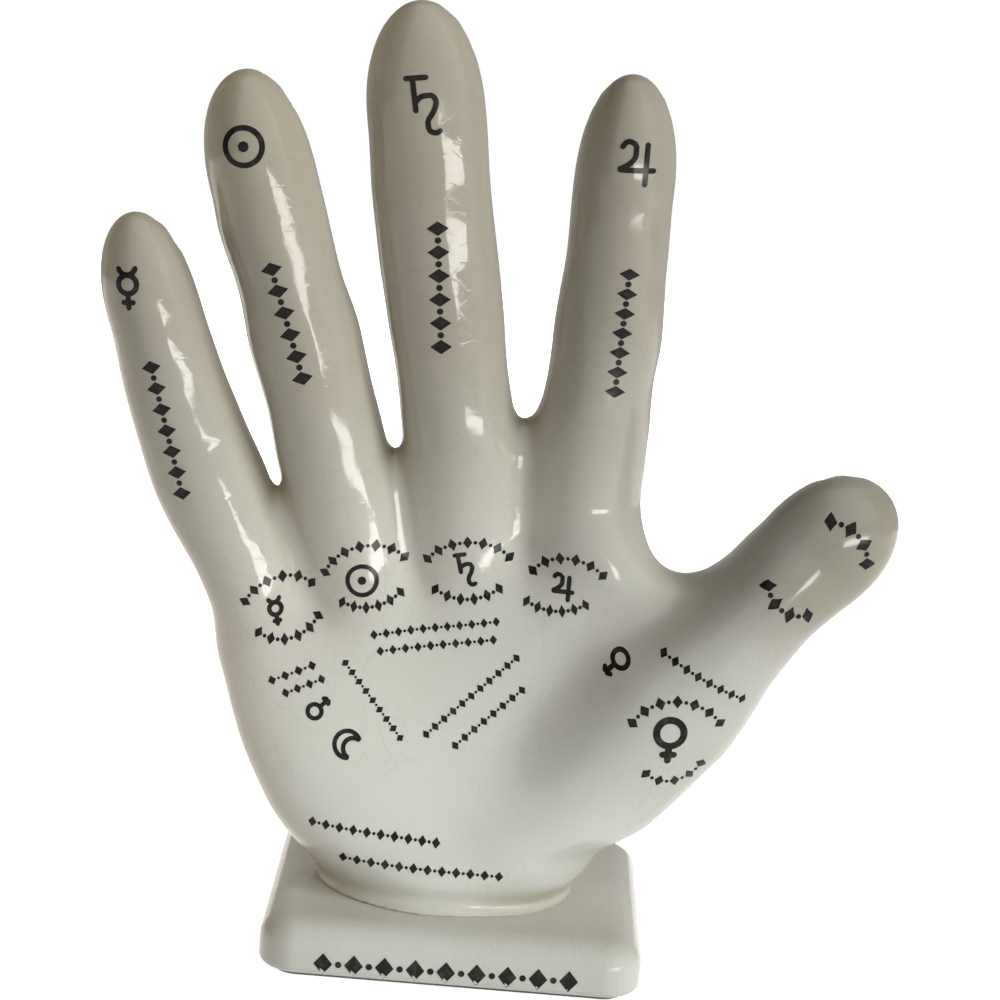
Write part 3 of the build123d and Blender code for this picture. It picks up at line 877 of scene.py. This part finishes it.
ink = bpy.data.materials.new("transfer_ink")
add, link = empty_nodes(ink)
where = add("TexCoord")
wear = set_inputs(add("TexNoise"), Scale=420.0, Detail=4.0, Roughness=0.65)
black = add("ValToRGB")
black.color_ramp.elements[0].position = 0.50
black.color_ramp.elements[0].color = INK_BLACK
black.color_ramp.elements[1].position = 0.78
black.color_ramp.elements[1].color = INK_WORN
smears = set_inputs(add("TexNoise"), Scale=55.0, Detail=3.0)
gloss = set_inputs(add("MapRange"), From_Min=0.3, From_Max=0.75, To_Min=0.10, To_Max=0.22)
coat = set_inputs(add("BsdfPrincipled"), IOR=1.27)
surface = add("OutputMaterial")
link(where.outputs["Object"], wear.inputs["Vector"])
link(wear.outputs["Fac"], black.inputs["Fac"])
link(black.outputs["Color"], coat.inputs["Base Color"])
link(where.outputs["Object"], smears.inputs["Vector"])
link(smears.outputs["Fac"], gloss.inputs["Value"])
link(gloss.outputs["Result"], coat.inputs["Roughness"])
link(coat.outputs[0], surface.inputs["Surface"])


def print_piece(name, films):
    """All the films of one transfer as one mesh with crisp edges, fixed to the part's one body."""
    start = np.cumsum([0] + [len(points) for points, _ in films])
    faces = [[number + first for number in face] for (_, rows), first in zip(films, start) for face in rows]
    piece = mesh_piece(name, np.concatenate([points for points, _ in films]), faces, ink)
    piece.data.set_sharp_from_angle(angle=np.radians(INK_CREASE))
    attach(piece, "root")


print_piece("finger_signs", [
    film for sign in FINGER_SIGNS for film in sign_films(*sign, FINGER_STROKE)
])

# The signs in the palm are transfers of the same ink, smaller than those on the fingers. One stands on
# the mount below each finger, three lie in the palm, and the largest is on the ball of the thumb.
PALM_STROKE = 1.05
THUMB_STROKE = 1.65
MOUNT_SIGNS = (
    ("horned_ring_and_cross", (-46.8, 78.8), 7.0, 15.0),
    ("ring_and_dot", (-27.3, 87.8), 7.3, 0.0),
    ("sickle_and_bar", (-3.7, 92.4), 7.6, 10.0),
    ("curl_and_cross", (19.0, 90.4), 6.5, 0.0),
)
PALM_SIGNS = (
    ("ring_and_arrow", (-35.3, 57.6), 5.8, 0.0),
    ("crescent", (-27.7, 50.2), 6.5, -30.0),
    ("ring_and_arrow", (32.7, 75.8), 6.4, 180.0),
)
THUMB_SIGN = ("ring_and_cross", (45.7, 60.4), 10.8, 0.0)

print_piece("mount_signs", [film for sign in MOUNT_SIGNS for film in sign_films(*sign, PALM_STROKE)])
print_piece("palm_signs", [film for sign in PALM_SIGNS for film in sign_films(*sign, PALM_STROKE)])
print_piece("thumb_sign", sign_films(*THUMB_SIGN, THUMB_STROKE))

# Borders of lozenges and dots are printed up the fingers, as plain ornament in the same black ink.
# A lozenge fills this share of its step, and a dot is this share of a lozenge's height.
LOZENGE_SHARE = 0.62
DOT_SHARE = 0.30
# A border: its start and end as x and z, how tall its lozenges are and how many there are.
FINGER_BORDERS = (
    ((-69.6, 103.2), (-78.7, 135.3), 4.6, 7),
    ((-43.4, 132.7), (-52.8, 160.1), 5.0, 6),
    ((-13.0, 142.2), (-16.1, 172.2), 5.0, 6),
    ((26.8, 135.5), (27.7, 165.3), 4.8, 7),
)


def border_films(line, tall, lozenges, front):
    """Lozenges at even steps along a line, with a dot between each two. A lozenge narrows straight to its
    ends, and a dot is round. Both stop just short of their points, so that each end has a cap."""
    run = np.concatenate([[0.0], np.cumsum(np.linalg.norm(np.diff(line, axis=0), axis=1))])
    step = run[-1] / (lozenges - 1 + LOZENGE_SHARE)
    share = np.linspace(-0.96, 0.96, 7)

    def mark(middle, long, half_width):
        along = middle + share * long / 2
        path = np.stack([np.interp(along, run, line[:, axis]) for axis in (0, 1)], axis=-1)
        return ink_film(path, half_width, front)

    lozenge = tall / 2 * (1 - np.abs(share))
    dot = tall * DOT_SHARE / 2 * np.sqrt(1 - share**2)
    first = step * LOZENGE_SHARE / 2
    return [mark(first + step * i, step * LOZENGE_SHARE, lozenge) for i in range(lozenges)] + [
        mark(first + step * (i + 0.5), tall * DOT_SHARE, dot) for i in range(lozenges - 1)
    ]


def straight(start, end):
    """Points at even steps from start to end."""
    share = np.linspace(0.0, 1.0, LINE_POINTS)[:, None]
    return np.array(start) + (np.array(end) - np.array(start)) * share


print_piece("finger_borders", [
    film
    for start, end, tall, lozenges in FINGER_BORDERS
    for film in border_films(straight(start, end), tall, lozenges, hand_front)
])

# Smaller borders run round the signs on the mounts, over and under each, and along the palm and heel.
MOUNT_TALL = 3.0
# A curved border: the middle and radius of its circle, its first and last bearing, and its lozenges.
MOUNT_BORDERS = (
    ((-44.4, 76.1), 10.5, 162.0, 54.0, 6),
    ((-45.7, 82.0), 9.5, -125.0, -17.0, 6),
    ((-25.6, 85.1), 11.0, 168.0, 41.0, 7),
    ((-27.5, 94.6), 13.0, -112.0, -41.0, 6),
    ((-2.4, 86.2), 12.6, 150.0, 42.0, 7),
    ((-4.3, 99.2), 13.8, -120.0, -47.0, 6),
    ((20.4, 86.3), 10.9, 148.0, 41.0, 6),
    ((17.1, 98.3), 13.5, -121.0, -53.0, 6),
)
PALM_BORDERS = (
    ((-24.4, 75.5), (5.2, 81.2), 2.3, 11),
    ((-22.7, 71.8), (4.9, 77.0), 2.3, 10),
    ((-47.3, 62.4), (-36.4, 67.7), 2.3, 4),
    ((-43.8, 59.9), (-34.0, 64.8), 2.3, 4),
    ((-30.2, 69.2), (-15.1, 51.9), 2.1, 9),
    ((-10.3, 53.2), (10.3, 73.8), 2.3, 11),
    ((-3.4, 51.3), (12.2, 66.6), 2.3, 8),
    ((-35.3, 32.2), (-4.3, 30.5), 2.6, 10),
    ((-27.6, 24.6), (10.8, 24.0), 2.6, 12),
)

print_piece("mount_borders", [
    film
    for middle, radius, start, end, lozenges in MOUNT_BORDERS
    for film in border_films(arc(middle, radius, start, end), MOUNT_TALL, lozenges, hand_front)
])
print_piece("palm_borders", [
    film
    for start, end, tall, lozenges in PALM_BORDERS
    for film in border_films(straight(start, end), tall, lozenges, hand_front)
])

# On the thumb, one short border lies along its ball, two ring the sign there and two ring the pad.
BALL_BORDER = ((42.0, 80.2), (62.3, 70.6), 2.6, 8)
THUMB_BORDERS = (
    ((47.3, 58.1), 11.9, 156.0, 30.0, 3.0, 7),
    ((46.6, 58.1), 8.0, -141.0, -19.0, 3.0, 5),
    ((77.3, 104.0), 9.2, 99.0, -9.0, 4.2, 4),
    ((72.5, 99.1), 7.9, -179.0, -67.0, 4.2, 4),
)

ball_start, ball_end, ball_tall, ball_lozenges = BALL_BORDER
ball_films = border_films(straight(ball_start, ball_end), ball_tall, ball_lozenges, hand_front)
print_piece("thumb_borders", ball_films + [
    film
    for middle, radius, start, end, tall, lozenges in THUMB_BORDERS
    for film in border_films(arc(middle, radius, start, end), tall, lozenges, hand_front)
])

# The largest border runs along the front of the plinth, between its foot and its rounded top.
PLINTH_BORDER = ((-30.8, 4.7), (29.6, 5.3))
PLINTH_TALL = 5.2
PLINTH_LOZENGES = 9


def plinth_front(x, z):
    """The y of the plinth's front at each z: straight up, and a quarter ellipse at the foot and the top."""
    drop = np.clip((z - PLINTH_HIGH[2] + PLINTH_TOP_DROP) / PLINTH_TOP_DROP, 0, 1)
    foot = np.clip((PLINTH_LOW[2] + PLINTH_FOOT_ROUND - z) / PLINTH_FOOT_ROUND, 0, 1)
    back = PLINTH_TOP_INSET * (1 - np.sqrt(1 - drop**2)) + PLINTH_FOOT_ROUND * (1 - np.sqrt(1 - foot**2))
    return PLINTH_LOW[1] + back + 0 * x


plinth_line = straight(*PLINTH_BORDER)
print_piece("plinth_border", border_films(plinth_line, PLINTH_TALL, PLINTH_LOZENGES, plinth_front))
